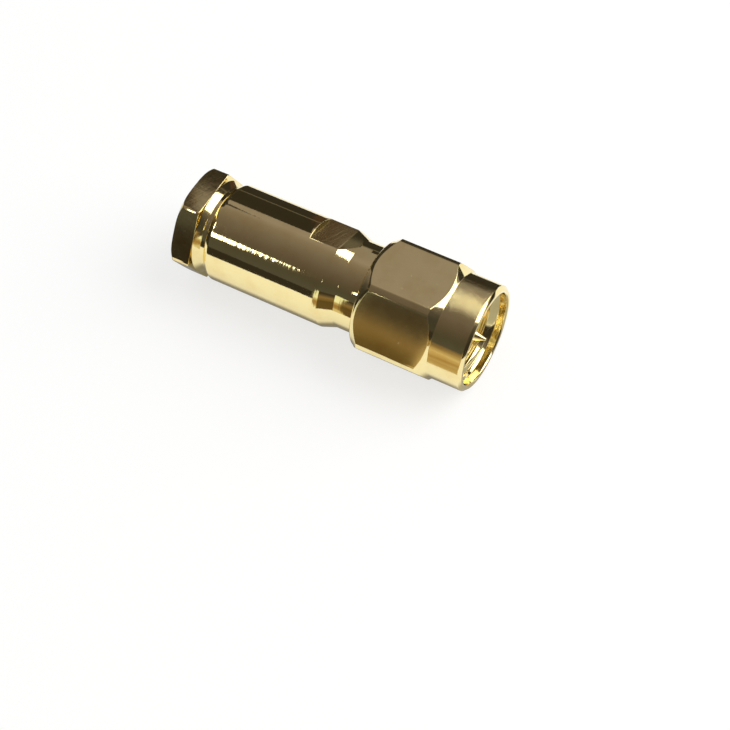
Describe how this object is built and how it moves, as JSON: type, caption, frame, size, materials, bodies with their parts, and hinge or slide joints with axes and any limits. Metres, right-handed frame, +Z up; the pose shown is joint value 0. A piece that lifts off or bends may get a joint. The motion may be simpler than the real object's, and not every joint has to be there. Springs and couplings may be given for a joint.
{
  "type": "sma connector",
  "caption": "Gold-plated coaxial cable plug with a hexagonal coupling nut, a centre pin and a screwed cable clamp.",
  "frame": {"origin": "on the plug's axis, at the mating plane: the front edge of the outer contact sleeve", "axes": "+X along the axis towards the open end of the coupling nut, +Z up, with one flat of the coupling nut facing down"},
  "size_m": [0.0227, 0.009, 0.008],
  "materials": {
    "coupling_nut": "gold plated, finely frosted flats",
    "connector_body": "gold plated, bright turned",
    "snap_ring": "gold plated spring wire",
    "interface_gasket": "silicone rubber",
    "centre_pin": "gold plated, bright turned",
    "front_insulator": "white PTFE",
    "rear_insulator": "white PTFE",
    "braid_clamp": "gold plated, bright turned",
    "clamp_gasket": "black rubber",
    "clamp_washer": "nickel plated, plain",
    "clamp_nut": "gold plated, milled flats"
  },
  "bodies": {
    "plug_body": {"connector_body": "connector_body", "snap_ring": "snap_ring", "interface_gasket": "interface_gasket", "centre_pin": "centre_pin", "front_insulator": "front_insulator", "rear_insulator": "rear_insulator", "braid_clamp": "braid_clamp", "clamp_gasket": "clamp_gasket"},
    "coupling_nut": {"coupling_nut": "coupling_nut"},
    "clamp_washer": {"clamp_washer": "clamp_washer"},
    "clamp_nut": {"clamp_nut": "clamp_nut"}
  },
  "joints": [
    {"name": "coupling_nut_spin", "type": "hinge", "parent": "plug_body", "child": "coupling_nut", "pos_m": [-0.004, 0, 0], "axis": [1, 0, 0], "continuous": true},
    {"name": "clamp_travel", "type": "slide", "parent": "plug_body", "child": "clamp_washer", "axis": [-1, 0, 0], "range_m": [-0.0003, 0.00375]},
    {"name": "clamp_nut_turn", "type": "hinge", "parent": "clamp_washer", "child": "clamp_nut", "pos_m": [-0.0193, 0, 0], "axis": [-1, 0, 0], "range_deg": [-144.01, 1800.05]}
  ],
  "couplings": [
    {"joint": "clamp_nut_turn", "follows": "clamp_travel", "rad_per_m": 8377.6}
  ]
}
